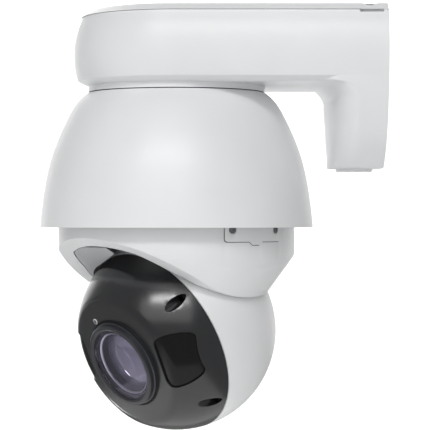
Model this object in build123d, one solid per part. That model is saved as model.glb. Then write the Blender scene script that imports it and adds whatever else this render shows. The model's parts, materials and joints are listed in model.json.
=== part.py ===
"""Wall-mounted pan-tilt-zoom camera: wall arm, bell sunshield, turning housing and ball-shaped head."""

from build123d import *
import math
import os

# ---------------------------------------------------------------- driving sizes (millimetres, degrees)

# Placement. The origin is the middle of the wall face, +X runs into the wall, +Z is up.
arm_reach = 175.0          # wall face to pan axis
pan_heading = -139.0       # where the lens points at rest, about +Z from +X
tilt_rest = 24.0           # how far the lens looks down at rest

# Clearances
fit = 0.03                 # pieces assembled once
running = 0.05             # shafts and races that turn
sliding = 0.15             # lens groups on their rods
swing_gap = 1.5            # ball to the socket around it
seam = 0.3                 # reveal between neighbouring covers

# Wall arm
arm_half_width = 87.7
arm_shoulder_width = 84.6  # half width where the side meets the underside bevel
arm_top_width = 81.5       # half width where the side meets the lid
arm_floor_width = 75.4     # half width of the flat underside
arm_floor_z = -17.0
arm_shoulder_z = -12.9
arm_bulge_z = 8.0          # height of the widest point of the side
arm_top_z = 41.0
arm_rim_height = 2.6       # bevelled band under the lid
arm_rim_step = 0.8
arm_wall = 3.0
lid_height = 6.0
lid_bevel = 10.0
lid_plate = 2.6
lid_lip = 3.0
seal_depth = 1.2           # rubber cord in the edge that meets the wall
seal_width = 1.4
seal_inset = 0.8

# Leg that runs down the wall
leg_half_width = 85.5
leg_curve_height = 92.0    # half height of the ellipse that the leg's outline follows
leg_bottom_z = -87.5
leg_depth_top = 49.0
leg_depth_bottom = 46.0
leg_side_depth = 22.0      # flat part of the leg's sides
leg_floor = 4.0
inner_corner = 17.5        # concave radius between the leg and the arm

# Lid screws, their pockets and the notch beside them
lid_screw_x = -15.0
lid_screw_y = 69.0
pocket_radius = 6.5
lid_screw_radius = 2.0
lid_screw_head = 3.6
lid_screw_length = 17.0
tab_top_z = 31.0
notch_length = 19.6
notch_start = 4.0
notch_height = 2.0

# Wall plate
plate_thickness = 3.0
plate_gap = 1.0
bolt_spacing_y = 110.0
bolt_spacing_z = 50.0
bolt_hole_radius = 3.3
cable_hole_radius = 20.0

# Conduit plug under the leg
conduit_radius = 13.2
conduit_x = -23.0
plug_flange_radius = 15.5
plug_flange = 2.6

# Neck between the arm and the camera
collar_radius = 75.4
cable_bore = 30.0
gasket_radius = 74.6
gasket_height = 0.8
collar_height = 5.0
hanger_circle = 55.0
hanger_count = 4
hanger_screw_radius = 2.5

# Sunshield
shield_wall = 2.5
shield_flange = 2.5
shield_top_step = 0.4      # the bell's top is wider than the collar
shield_skirt_gap = 15.7    # turning housing to the outside of the bell's rim
# Share of the way from the bell's top radius to its rim radius, and the height below its top
shield_shape = [(0.0, 0.0), (0.215, 7.9), (0.433, 22.7), (0.748, 53.6), (0.917, 84.5), (1.0, 114.5)]

# Fixed housing inside the sunshield
housing_radius = 88.0
housing_height = 80.4      # above the bearing plate
housing_shoulder_drop = 34.4
housing_top_radius = 68.0
housing_wall = 3.0
motor_room = 23.5          # deck of the turning housing to the bearing plate
bearing_plate_thickness = 4.0
ledge_height = 6.0
ledge_width = 6.0
ledge_screw_count = 6

# Pan bearing and hub
hub_radius = 20.0
hub_bore = 14.0
hub_shoulder = 22.5
race_height = 8.0
race_wall = 4.5
race_gap = 5.0
ball_radius = 2.95
ball_count = 20
hub_flange_radius = 34.0
hub_flange = 4.0
nut_radius = 27.0
nut_height = 6.0

# Turning housing
pan_radius = 101.0
pan_rim_rise = 11.5        # rim above the deck
deck_z = 89.5
deck_thickness = 3.0
pan_rim_wall = 4.0
ear_tip_z = 30.5
ear_wall = 3.07
front_crease_rise = 22.0   # the bevel starts this much higher at the front and back than over the ears
bevel_slope = 0.723        # inward run of the bevel for each millimetre down
cavity_wall_low = 21.5     # outside of the housing to the room inside, over the ball
cavity_wall_high = 11.5
socket_top = 42.0

# Service cover on the turning housing
cover_bottom_z = 76.8
cover_top_z = 97.0
cover_half_width = 30.0
cover_corner = 2.5
cover_proud = 1.2
tab_half_width = 3.5
tab_drop = 2.6
cover_depth = 2.0
cover_gap = 0.45
cover_screw_z = 86.5
cover_screw_angle = 13.4

# Camera head
head_radius = 85.0
head_wall = 2.5
seam_x = 22.0              # plane where the front cover meets the rear shell
land_x = 62.0              # flat front face around the lens
land_edge = 12.0
gasket_half = 0.6
window_near = 47.5
window_margin = 7.6        # outer edge of a side window to the seam
window_top = 25.5
window_bottom = -20.5
window_bow = 3.5
window_corner = 8.0
window_taper = 6.5
window_sink = 1.5
window_thickness = 2.2
chassis_gap = 0.74
cover_screw_inset = 2.6    # screw circle inside the chassis edge
cover_screw_angles = (37.0, -36.5)
cover_pocket_radius = 4.7
cover_floor = 1.8          # under the heads of the cover screws
boss_radius = 7.0
boss_rear_x = 6.0

# Lens
bezel_base_radius = 38.0
bezel_face_radius = 36.8
bezel_face_x = 68.4
bezel_bore = 32.2
window_x = 66.6
window_glass = 2.0
barrel_half_width = 23.5
barrel_half_height = 23.0
barrel_back_x = -42.0
barrel_front_x = 44.0
barrel_bore = 20.0
nose_radius = 29.0
nose_front_x = 62.0
nose_bore = 27.0
bezel_seat_radius = 36.9
front_glass_back = 47.0
front_glass_front = 60.5
front_glass_bulge = 5.5
rail_radius = 1.5
vent_radius = 5.0
vent_direction = (-45.0, 44.0, 55.0)
sensor_radius = 2.0
sensor_side = -20.5
sensor_up = 37.4

# Inner yoke that carries the head
neck_half_side = 15.0
neck_half_depth = 10.0
yoke_bar_z = 54.0
yoke_bar = 6.0
yoke_arm_y = 41.0
yoke_arm = 5.0
yoke_half_depth = 11.0
pivot_eye = 13.0
bush_radius = 8.0
pivot_radius = 5.0
slot_half_width = 17.0
slot_start_angle = 80.0    # from the lens axis over the top
slot_end_angle = 190.0

# Motors and sensors that turn with no gears
pan_stator_inner = 48.5
pan_stator_outer = 66.0
pan_rotor_inner = 36.0
pan_rotor_outer = 47.5
tilt_motor_radius = 19.5
tilt_motor_width = 3.4
tilt_rotor_width = 2.6

# Slip ring
slip_shaft_radius = 10.0
slip_body_radius = 16.0
slip_body_z = 138.0

# Circuit boards
board_thickness = 1.6
board_gap = 10.0           # edge of a board to the outside of the fixed housing
board_hole_radius = 30.0
spacer_margin = 8.0        # spacers inside the edge of a board
spacer_radius = 3.5
power_board_rise = 25.0    # above the bearing plate
main_board_rise = 48.0
capacitor_radius = 6.0
capacitor_height = 14.0
capacitor_x = 48.0
capacitor_pitch = 14.0
# Blocks on each board: (middle X, middle Y, length, width, height)
power_blocks = [(-50.0, 0.0, 24.0, 28.0, 16.0), (1.0, 52.0, 18.0, 20.0, 9.0), (-4.0, -52.0, 20.0, 16.0, 11.0)]
main_blocks = [
    (50.0, 0.0, 24.0, 24.0, 3.0),
    (-47.0, 0.0, 14.0, 16.0, 2.0),
    (-1.0, 50.0, 18.0, 12.0, 8.0),
    (0.0, -52.0, 18.0, 12.0, 8.0),
]

# Head chassis
chassis_plate = 3.0
chassis_arm_y = 53.0
chassis_arm = 4.0
chassis_arm_half = 10.0
led_board_x = 34.3
led_board_near = 50.5
led_board_far = 69.0
led_board_half = 20.0
led_block_margin = 1.7     # heat block inside the edge of its board
led_columns = (55.5, 64.0)
led_rows = (-13.0, 0.0, 13.0)
led_radius = 3.0
led_body = 2.5

# ---------------------------------------------------------------- worked-out values and helpers

# The stack above the tilt axis, from the turning deck up to the arm
deck_top_z = deck_z + deck_thickness
pan_top_z = deck_top_z + pan_rim_rise
plate_z = deck_top_z + motor_room
plate_top_z = plate_z + bearing_plate_thickness
power_board_z = plate_top_z + power_board_rise
main_board_z = plate_top_z + main_board_rise
housing_top_z = plate_top_z + housing_height
housing_shoulder_z = housing_top_z - housing_shoulder_drop
shield_base_z = housing_top_z
gasket_base_z = shield_base_z + shield_flange
neck_z = gasket_base_z + gasket_height
neck_top_z = neck_z + collar_height
ball_drop = neck_top_z - arm_floor_z

board_radius = housing_radius - board_gap
spacer_circle = board_radius - spacer_margin
socket_radius = head_radius + swing_gap
head_inner = head_radius - head_wall
ear_tip_radius = math.sqrt(socket_radius**2 - ear_tip_z**2) + ear_wall
crease_side_z = ear_tip_z + (pan_radius - ear_tip_radius) / bevel_slope
crease_front_z = crease_side_z + front_crease_rise
shield_top_radius = collar_radius + shield_top_step
shield_rim_radius = pan_radius + shield_skirt_gap
shield_outline = [
    (shield_top_radius + share * (shield_rim_radius - shield_top_radius), gasket_base_z - drop)
    for share, drop in shield_shape
]
race_top_z = plate_top_z
race_base_z = race_top_z - race_height
race_circle = hub_radius + race_wall + race_gap / 2
nut_base_z = race_top_z

tilt_axis_place = Location((-arm_reach, 0, -ball_drop))
pan_place = tilt_axis_place * Rotation(0, 0, pan_heading)
head_place = pan_place * Rotation(0, tilt_rest, 0)

os.makedirs("parts", exist_ok=True)
made = {}


def keep(name, shape, place=None):
    """Moves a finished piece to its place and writes it as its own file."""
    solids = [place * s for s in shape.solids()] if place else list(shape.solids())
    piece = solids[0] if len(solids) == 1 else Compound(children=solids)
    piece.label = name
    export_step(piece, f"parts/{name}.step")
    made[name] = piece
    print(name, len(solids), round(sum(s.volume for s in solids)))


def rod(radius, low, high, x=0.0, y=0.0):
    """A cylinder along Z from low to high."""
    return Pos(x, y, (low + high) / 2) * Cylinder(radius, high - low)


def tube(outer, inner, low, high):
    """A ring along Z from low to high."""
    return rod(outer, low, high) - rod(inner, low - 1, high + 1)


def rod_x(radius, low, high, y=0.0, z=0.0):
    """A cylinder along X from low to high."""
    return Pos((low + high) / 2, y, z) * Rotation(0, 90, 0) * Cylinder(radius, high - low)


def tube_x(outer, inner, low, high, y=0.0, z=0.0):
    """A ring along X from low to high."""
    return rod_x(outer, low, high, y, z) - rod_x(inner, low - 1, high + 1, y, z)


def rod_y(radius, low, high, x=0.0, z=0.0):
    """A cylinder along Y from low to high, given in either order."""
    return Pos(x, (low + high) / 2, z) * Rotation(90, 0, 0) * Cylinder(radius, abs(high - low))


def block(low, high):
    """A box between two opposite corners, given in any order."""
    size = [abs(b - a) for a, b in zip(low, high)]
    middle = [(a + b) / 2 for a, b in zip(low, high)]
    return Pos(*middle) * Box(*size)


def ring_of(count, radius, shape, start=0.0):
    """Copies of one shape, evenly round the Z axis."""
    step = 360.0 / count
    return [Rotation(0, 0, start + i * step) * (Pos(radius, 0, 0) * shape) for i in range(count)]


def group(shapes):
    """Several separate solids as one group."""
    return Compound(children=[s for shape in shapes for s in shape.solids()])


def turned(points):
    """A solid of revolution about Z from an outline of (radius, height) points."""
    outline = make_face(Polyline(*[(r, 0, z) for r, z in points], close=True))
    return revolve(outline, Axis.Z, 360)


def turned_x(points):
    """A solid of revolution about X from an outline of (distance along X, radius) points."""
    outline = make_face(Polyline(*[(x, r, 0) for x, r in points], close=True))
    return revolve(outline, Axis.X, 360)


def cap_screw(radius, head_size, head_height, length):
    """A socket screw that points down from Z = 0, with its head above and a hexagon socket in it."""
    body = rod(radius, -length, 0) + rod(head_size, 0, head_height)
    socket = extrude(RegularPolygon(head_size * 0.55, 6), head_height * 0.6)
    return body - Pos(0, 0, head_height * 0.4) * socket


def lens_disc(radius, low_x, high_x, bulge):
    """A glass disc along X whose two faces bow outwards by the bulge."""
    curve = (radius**2 + bulge**2) / (2 * bulge)
    disc = rod_x(radius, low_x, high_x)
    front = Pos(high_x - curve, 0, 0) * Sphere(curve)
    back = Pos(low_x + curve, 0, 0) * Sphere(curve)
    return disc & front & back


# ---------------------------------------------------------------- wall arm


def arm_profile(inset, floor_z, top_z):
    """Half of the arm's cross-section as a face of (distance from the middle, height)."""
    start = Line((0, floor_z), (arm_floor_width - inset * 0.7, floor_z))
    bevel = Line(start @ 1, (arm_shoulder_width - inset, arm_shoulder_z + inset * 0.4))
    side = ThreePointArc(
        bevel @ 1, (arm_half_width - inset, arm_bulge_z), (arm_top_width - inset, arm_top_z - arm_rim_height)
    )
    rim = Line(side @ 1, (arm_top_width - arm_rim_step - inset, arm_top_z))
    edges = [start, bevel, side, rim]
    corner = (arm_top_width - arm_rim_step - inset, top_z)
    if top_z > arm_top_z:
        edges.append(Line(rim @ 1, corner))
    top = Line(corner, (0, top_z))
    return make_face(edges + [top, Line(top @ 1, start @ 0)])


def paddle(profile, wall_x):
    """A cross-section carried along the arm and round its end."""
    upright = Plane.XZ * profile
    end = Pos(-arm_reach, 0, 0) * revolve(upright, Axis.Z, 360)
    across = Plane(origin=(-arm_reach, 0, 0), x_dir=(0, 1, 0), z_dir=(1, 0, 0))
    half = extrude(across * profile, arm_reach + wall_x)
    return end + half + mirror(half, Plane.XZ)


def leg_section(z, inset, wall_x):
    """One level of the leg: flat sides off the wall, then a half ellipse to the front."""
    width = leg_half_width * math.sqrt(1 - (z / leg_curve_height) ** 2) - inset
    turn_z = arm_floor_z - inner_corner
    share = (z - leg_bottom_z) / (turn_z - leg_bottom_z)
    front = leg_depth_bottom + (leg_depth_top - leg_depth_bottom) * min(1.0, share) - inset
    side = leg_side_depth
    rise = min(z - turn_z, inner_corner)
    if rise > 0:
        flare = inner_corner - math.sqrt(inner_corner**2 - rise**2)
        front += flare
        side += flare
    near = Line((wall_x, -width), (-side, -width))
    nose = EllipticalCenterArc((-side, 0), front - side, width, start_angle=90, arc_size=180)
    far = Line((-side, width), (wall_x, width))
    back = Line((wall_x, width), (wall_x, -width))
    return Pos(0, 0, z) * make_face([near, nose, far, back])


def leg(inset, floor_z, wall_x):
    """The leg as a smooth loft through its levels, then a short way up into the arm."""
    turn_z = arm_floor_z - inner_corner
    levels = [floor_z + share * (turn_z - floor_z) for share in (0.0, 0.15, 0.35, 0.6, 0.8, 1.0)]
    levels += [turn_z + share * inner_corner for share in (0.43, 0.75, 0.94, 1.0)]
    levels.append(arm_shoulder_z)
    return loft([leg_section(z, inset, wall_x) for z in levels])


arm_shell = paddle(arm_profile(0.0, arm_floor_z, arm_top_z), 0.0) + leg(0.0, leg_bottom_z, 0.0)
hollow_floor = arm_floor_z + arm_wall
hollow = paddle(arm_profile(arm_wall, hollow_floor, arm_top_z + 1), 1.0)
leg_hollow = leg(arm_wall, leg_bottom_z + leg_floor, 1.0)
arm_casting = arm_shell - hollow - leg_hollow

hanger_boss_top = hollow_floor + 6.0
for boss in ring_of(hanger_count, hanger_circle, rod(6.0, arm_floor_z + 1, hanger_boss_top), 45):
    arm_casting += Pos(-arm_reach, 0, 0) * boss
arm_casting -= rod(cable_bore, arm_floor_z - 1, hollow_floor + 1, -arm_reach)
thread_hole = rod(hanger_screw_radius, arm_floor_z - 1, hanger_boss_top + 1)
for hole in ring_of(hanger_count, hanger_circle, thread_hole, 45):
    arm_casting -= Pos(-arm_reach, 0, 0) * hole
arm_casting -= rod(conduit_radius, leg_bottom_z - 1, leg_bottom_z + leg_floor + 1, conduit_x)
rib_base_z = tab_top_z + fit
rib_top_z = arm_top_z - lid_lip
for side in (-1, 1):
    inner_y = side * lid_screw_y
    rib = block((lid_screw_x - 6, inner_y, rib_base_z), (lid_screw_x + 6, side * arm_half_width, rib_top_z))
    rib += rod(6.0, rib_base_z, rib_top_z, lid_screw_x, inner_y)
    arm_casting += rib & arm_shell
    arm_casting -= rod(lid_screw_radius + 0.3, tab_top_z - 1, arm_top_z + 1, lid_screw_x, inner_y)
    arm_casting -= block(
        (-notch_start - notch_length, side * (arm_top_width - 6), arm_top_z - notch_height),
        (-notch_start, side * (arm_half_width + 2), arm_top_z + 1),
    )


def wall_slab(inset, low_x, high_x, top_z):
    """A slab on the wall face with the outline of the arm and its leg."""
    upper = paddle(arm_profile(inset, arm_floor_z, top_z), high_x)
    lower = leg(inset, leg_bottom_z + inset, high_x)
    return (upper + lower) & block((low_x, -200, -200), (high_x, 200, 200))


def edge_band(inset, width, low_x, high_x):
    """A band along the edge that meets the wall, open at the top where the lid is."""
    band = wall_slab(inset, low_x, high_x, arm_top_z + 0.1)
    return band - wall_slab(inset + width, low_x - 1, high_x + 1, arm_top_z + 1)


arm_casting -= edge_band(seal_inset - fit, seal_width + 2 * fit, -seal_depth, 0.5)
keep("arm_casting", arm_casting)
keep("wall_seal", edge_band(seal_inset, seal_width, -seal_depth, 0.0))

# The lid: a bevelled plate with a lip that drops into the arm
lid_top_z = arm_top_z + lid_height
lid_end_x = -seam
lid_flat_width = arm_top_width - lid_bevel
lid_face = make_face(
    Polyline(
        (0, arm_top_z + seam),
        (arm_top_width, arm_top_z + seam),
        (lid_flat_width, lid_top_z),
        (0, lid_top_z),
        close=True,
    )
)
under_face = make_face(
    Polyline(
        (0, arm_top_z - 1),
        (lid_flat_width - 2, arm_top_z - 1),
        (lid_flat_width - 2, lid_top_z - lid_plate),
        (0, lid_top_z - lid_plate),
        close=True,
    )
)
lip_face = Pos(arm_top_width - arm_wall - 3, arm_top_z + 1 - lid_lip / 2) * Rectangle(2.0, lid_lip + 2)
lid_blank = paddle(lid_face, lid_end_x)
lid = lid_blank - paddle(under_face, lid_end_x - 4) + paddle(lip_face, lid_end_x - 4)
lid -= paddle(Pos(0, -10) * lid_face, lid_end_x) & block((-400, -200, 0), (1, 200, arm_top_z - lid_lip))
for side in (-1, 1):
    boss = rod(pocket_radius + 1.5, arm_top_z - lid_lip + fit, lid_top_z - 0.5, lid_screw_x, side * lid_screw_y)
    above = block((-60, -200, arm_top_z + seam), (lid_end_x, 200, lid_top_z))
    lid += (boss & lid_blank) + (boss - above)
    lid -= rod(pocket_radius, arm_top_z + 2.2, lid_top_z + 1, lid_screw_x, side * lid_screw_y)
    lid -= rod(lid_screw_radius + 0.3, arm_top_z - 5, lid_top_z, lid_screw_x, side * lid_screw_y)
keep("arm_lid", lid)

lid_screw = Pos(0, 0, arm_top_z + 2.2) * cap_screw(lid_screw_radius, lid_screw_head, 3.0, lid_screw_length)
keep("lid_screws", group([Pos(lid_screw_x, side * lid_screw_y, 0) * lid_screw for side in (-1, 1)]))


plate_inset = arm_wall + plate_gap + 2.0
plate_room = block((-plate_thickness, -200, -200), (0, 200, tab_top_z))
wall_plate = wall_slab(plate_inset, -plate_thickness, 0.0, arm_top_z + 0.1) & plate_room
for side_y in (-1, 1):
    for side_z in (-1, 1):
        y, z = side_y * bolt_spacing_y / 2, side_z * bolt_spacing_z / 2
        if z < tab_top_z:
            wall_plate -= rod_x(bolt_hole_radius, -plate_thickness - 1, 1, y, z)
wall_plate -= rod_x(cable_hole_radius, -plate_thickness - 1, 1)
for side in (-1, 1):
    middle_y = side * lid_screw_y
    wall_plate += block(
        (lid_screw_x - 6, middle_y - 6, tab_top_z - plate_thickness), (-1.0, middle_y + 6, tab_top_z)
    )
    wall_plate -= rod(lid_screw_radius, tab_top_z - 9, tab_top_z + 1, lid_screw_x, middle_y)
keep("wall_plate", wall_plate)

plug_top = leg_bottom_z
plug = rod(plug_flange_radius, plug_top - plug_flange, plug_top, conduit_x)
plug = fillet(plug.edges().group_by(Axis.Z)[0], 0.8)
plug += rod(conduit_radius - fit, plug_top, leg_bottom_z + leg_floor + 4, conduit_x)
plug -= rod(9.0, leg_bottom_z + 1, leg_bottom_z + leg_floor + 5, conduit_x)
slot_top = plug_top - plug_flange + 1.4
plug -= block((conduit_x - 1.2, -9.0, plug_top - plug_flange - 1), (conduit_x + 1.2, 9.0, slot_top))
keep("conduit_plug", plug)

# ---------------------------------------------------------------- neck, sunshield and fixed housing

hanger_hole = rod(hanger_screw_radius + 0.3, housing_top_z - 10, neck_top_z + 1)
hanger_holes = group(ring_of(hanger_count, hanger_circle, hanger_hole, 45))
keep("neck_collar", tube(collar_radius, cable_bore, neck_z, neck_top_z) - hanger_holes, tilt_axis_place)
gasket = tube(gasket_radius, cable_bore, gasket_base_z, neck_z) - hanger_holes
keep("neck_gasket", gasket, tilt_axis_place)

outer_line = Spline(*[(r, 0, z) for r, z in shield_outline])


def inner_point(index):
    """A point on the shield's inner face, square in from a point of the outer outline."""
    before = shield_outline[max(0, index - 1)]
    after = shield_outline[min(len(shield_outline) - 1, index + 1)]
    run, drop = after[0] - before[0], after[1] - before[1]
    length = math.hypot(run, drop)
    r, z = shield_outline[index]
    return (r + drop / length * shield_wall, 0, z - run / length * shield_wall)


last = len(shield_outline) - 1
inner_points = [inner_point(i) for i in range(1, last)]
foot = (shield_outline[last][0] - shield_wall, 0, shield_outline[last][1])
inner_top = (inner_points[0][0] - 6.0, 0, shield_base_z)
inner_line = Spline(foot, *reversed(inner_points), inner_top)
bell_face = make_face(
    [
        outer_line,
        Line(outer_line @ 1, foot),
        inner_line,
        Line(inner_top, (cable_bore, 0, shield_base_z)),
        Line((cable_bore, 0, shield_base_z), (cable_bore, 0, gasket_base_z)),
        Line((cable_bore, 0, gasket_base_z), outer_line @ 0),
    ]
)
keep("sunshield", revolve(bell_face, Axis.Z, 360) - hanger_holes, tilt_axis_place)

inner_housing = housing_radius - housing_wall
housing = turned(
    [
        (cable_bore, housing_top_z),
        (housing_top_radius, housing_top_z),
        (housing_radius, housing_shoulder_z),
        (housing_radius, plate_top_z),
        (inner_housing - ledge_width, plate_top_z),
        (inner_housing - ledge_width, plate_top_z + ledge_height),
        (inner_housing, plate_top_z + ledge_height),
        (inner_housing, housing_shoulder_z - 1),
        (housing_top_radius - 2, housing_top_z - housing_wall),
        (cable_bore, housing_top_z - housing_wall),
    ]
)
ledge_circle = housing_radius - 5.5
housing -= group(ring_of(ledge_screw_count, ledge_circle, rod(1.7, plate_top_z - 1, plate_top_z + 5)))
keep("base_housing", housing - hanger_holes, tilt_axis_place)

hanger_head_z = housing_top_z - housing_wall
hanger_length = neck_top_z - hanger_head_z + 8.0
hanger = Pos(0, 0, hanger_head_z) * Rotation(180, 0, 0) * cap_screw(
    hanger_screw_radius - fit, 4.6, 4.0, hanger_length
)
keep("hanger_screws", group(ring_of(hanger_count, hanger_circle, hanger, 45)), tilt_axis_place)

race_outer = race_circle + race_gap / 2 + race_wall
plate_bore = race_outer + fit
bearing_plate = rod(housing_radius, plate_z, plate_top_z) + rod(plate_bore + 3.5, race_base_z, plate_top_z)
bearing_plate -= rod(plate_bore, race_base_z - 1, plate_top_z + 1)
bearing_plate -= group(ring_of(ledge_screw_count, ledge_circle, rod(2.0, plate_z - 1, plate_top_z + 1)))
spacer_hole = rod(1.5, plate_z + 1, plate_top_z + 1)
bearing_plate -= group(ring_of(4, spacer_circle, spacer_hole, 22.5))
bearing_plate -= block((board_hole_radius + 8, -6, plate_z - 1), (board_hole_radius + 14, 6, plate_top_z + 1))
keep("bearing_plate", bearing_plate, tilt_axis_place)
plate_screw = Pos(0, 0, plate_z) * Rotation(180, 0, 0) * cap_screw(1.7 - fit, 3.0, 2.6, 8.5)
keep("plate_screws", group(ring_of(ledge_screw_count, ledge_circle, plate_screw)), tilt_axis_place)

race_mid_z = (race_base_z + race_top_z) / 2
groove = Pos(0, 0, race_mid_z) * Torus(race_circle, ball_radius + running)
outer_race = tube(race_outer, race_circle + race_gap / 2, race_base_z, race_top_z) - groove
keep("pan_bearing_outer", outer_race, tilt_axis_place)
motor_top_z = plate_z
stator = tube(pan_stator_outer, pan_stator_inner, deck_top_z + 4, motor_top_z)
tooth_gap = block((pan_stator_inner - 1, -1.0, deck_top_z + 3), (pan_stator_inner + 9, 1.0, motor_top_z - 3))
stator -= group([Rotation(0, 0, 15 * i) * tooth_gap for i in range(24)])
keep("pan_motor_stator", stator, tilt_axis_place)

slip_body = rod(slip_body_radius, slip_body_z, hanger_head_z - 2) + tube(
    34.0, 6.0, hanger_head_z - 2, hanger_head_z
)
slip_body -= rod(slip_shaft_radius + running, slip_body_z - 1, slip_body_z + 12)
slip_body -= rod(6.0, hanger_head_z - 12, hanger_head_z + 1)
keep("slip_ring_body", slip_body, tilt_axis_place)


def ring_board(low_z, screw_radius):
    """A round circuit board with a wide hole in the middle."""
    board = tube(board_radius, board_hole_radius, low_z, low_z + board_thickness)
    hole = rod(screw_radius, low_z - 1, low_z + board_thickness + 1)
    return board - group(ring_of(4, spacer_circle, hole, 22.5))


keep("power_board", ring_board(power_board_z, 1.6), tilt_axis_place)
keep("main_board", ring_board(main_board_z, 1.6), tilt_axis_place)
spacers = ring_of(4, spacer_circle, rod(spacer_radius, plate_top_z, power_board_z), 22.5)
upper_base = power_board_z + board_thickness
spacers += ring_of(4, spacer_circle, rod(spacer_radius, upper_base, main_board_z), 22.5)
keep("board_spacers", group(spacers), tilt_axis_place)


def board_blocks(layout, base_z):
    """Connectors, coils and chips on a board as plain blocks."""
    return [Pos(x, y, base_z + height / 2) * Box(long, wide, height) for x, y, long, wide, height in layout]


power_top = power_board_z + board_thickness
main_top = main_board_z + board_thickness
capacitor = rod(capacitor_radius, power_top, power_top + capacitor_height, capacitor_x)
capacitors = [Pos(0, row * capacitor_pitch, 0) * capacitor for row in (-1, 0, 1)]
boards = capacitors + board_blocks(power_blocks, power_top) + board_blocks(main_blocks, main_top)
keep("board_parts", group(boards), tilt_axis_place)

# ---------------------------------------------------------------- turning housing


def ellipse_level(z):
    """The outline of the lower bevel at one height."""
    side = pan_radius + bevel_slope * (z - crease_side_z)
    front = pan_radius + bevel_slope * (z - crease_front_z)
    return Pos(0, 0, z) * Ellipse(front, side)


bevel_cone = loft([ellipse_level(z) for z in (14.0, pan_top_z + 6.0)], ruled=True)
pan_blank = rod(pan_radius, 20.0, pan_top_z) & bevel_cone

# The opening: from the tip of the ear forwards and up, and more gently backwards
front_radius = 92.6
rear_radius = 265.0
tip_x = -8.7
front_turn = math.radians(30.0)
bend_x = tip_x + front_radius * math.sin(front_turn)
bend_z = ear_tip_z + front_radius * (1 - math.cos(front_turn))
mid_turn = front_turn / 2
mid_point = (tip_x + front_radius * math.sin(mid_turn), ear_tip_z + front_radius * (1 - math.cos(mid_turn)))
far_x = 120.0
far_z = bend_z + (far_x - bend_x) * math.tan(front_turn)
rear_x = -120.0


def rear_height(x):
    """Height of the opening's edge behind the tip."""
    return ear_tip_z + rear_radius - math.sqrt(rear_radius**2 - (x - tip_x) ** 2)


rear_mid = (rear_x + tip_x) / 2
opening_edges = [
    ThreePointArc((rear_x, rear_height(rear_x)), (rear_mid, rear_height(rear_mid)), (tip_x, ear_tip_z)),
    ThreePointArc((tip_x, ear_tip_z), mid_point, (bend_x, bend_z)),
    Line((bend_x, bend_z), (far_x, far_z)),
    Line((far_x, far_z), (far_x, -20)),
    Line((far_x, -20), (rear_x, -20)),
    Line((rear_x, -20), (rear_x, rear_height(rear_x))),
]
opening_face = Plane.XZ * make_face(opening_edges)
opening = extrude(opening_face, 130, both=True)

socket_edge = math.sqrt(socket_radius**2 - socket_top**2)
socket = Sphere(socket_radius) & block((-120, -120, -10), (120, 120, socket_top))
cavity = turned(
    [
        (0, socket_top - 1),
        (socket_edge - 1, socket_top - 1),
        (socket_edge, socket_top),
        (pan_radius - cavity_wall_low, socket_top + 12),
        (pan_radius - cavity_wall_high, socket_top + 25),
        (pan_radius - cavity_wall_high, deck_z - 5),
        (pan_radius - cavity_wall_high - 5, deck_z),
        (0, deck_z),
    ]
)
pan_body = pan_blank - opening - socket - cavity
pan_body -= rod(pan_radius - pan_rim_wall, deck_top_z, pan_top_z + 1)
yoke_screw_spots = [(x, y) for x in (-5, 5) for y in (-9, 9)]
for x, y in yoke_screw_spots:
    pan_body -= rod(1.8, deck_z - 1, deck_top_z + 1, x, y)
pan_body -= rod(4.5, deck_z - 1, deck_top_z + 1)
hub_screw_circle = 28.0
pan_body -= group(ring_of(6, hub_screw_circle, rod(1.5, deck_z - 1, deck_top_z + 1)))


def cover_block(grow, inner, outer):
    """The service cover's outline, with a small tab under it, carried outwards along Y between two radii."""
    outline = make_face(
        Polyline(
            (-cover_half_width, cover_top_z),
            (cover_half_width, cover_top_z),
            (cover_half_width, cover_bottom_z),
            (2 * tab_half_width, cover_bottom_z),
            (tab_half_width, cover_bottom_z - tab_drop),
            (-tab_half_width, cover_bottom_z - tab_drop),
            (-2 * tab_half_width, cover_bottom_z),
            (-cover_half_width, cover_bottom_z),
            close=True,
        )
    )
    low_corners = [
        v for v in outline.vertices() if abs(v.X) > cover_half_width - 1 and v.Y < cover_bottom_z + 1
    ]
    outline = fillet(low_corners, cover_corner)
    if grow:
        outline = offset(outline, grow)
    slab = extrude(Plane.XZ * outline, -2 * pan_radius)
    low = cover_bottom_z - tab_drop - 2
    return slab & tube(outer, inner, low, pan_top_z + 2)


cover_recess = cover_block(cover_gap, pan_radius - cover_depth, pan_radius + 5)
cover_recess += cover_recess.moved(Location((0, 0, pan_top_z - cover_top_z)))
pan_body -= cover_recess
cover_thread = rod(1.4, -9, 5)


def round_cover(shape, angle, radius, z):
    """Places a shape that points along +Z so that it points outwards at an angle from +Y."""
    return Rotation(0, 0, angle) * (Pos(0, radius, z) * (Rotation(-90, 0, 0) * shape))


for angle in (-cover_screw_angle, cover_screw_angle):
    pan_body -= round_cover(cover_thread, angle, pan_radius - cover_depth, cover_screw_z)
keep("pan_housing", pan_body, pan_place)

cover = cover_block(0.0, pan_radius - cover_depth + fit, pan_radius + cover_proud)
for angle in (-cover_screw_angle, cover_screw_angle):
    cover -= round_cover(rod(1.7, -5, 5), angle, pan_radius, cover_screw_z)
    cover -= round_cover(rod(3.4, 0, 5), angle, pan_radius, cover_screw_z)
keep("service_cover", cover, pan_place)
cover_screw = cap_screw(1.4 - fit, 2.8, 1.6, 7.5)
screw_angles = (-cover_screw_angle, cover_screw_angle)
service_screws = [round_cover(cover_screw, angle, pan_radius, cover_screw_z) for angle in screw_angles]
keep("service_screws", group(service_screws), pan_place)

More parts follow.
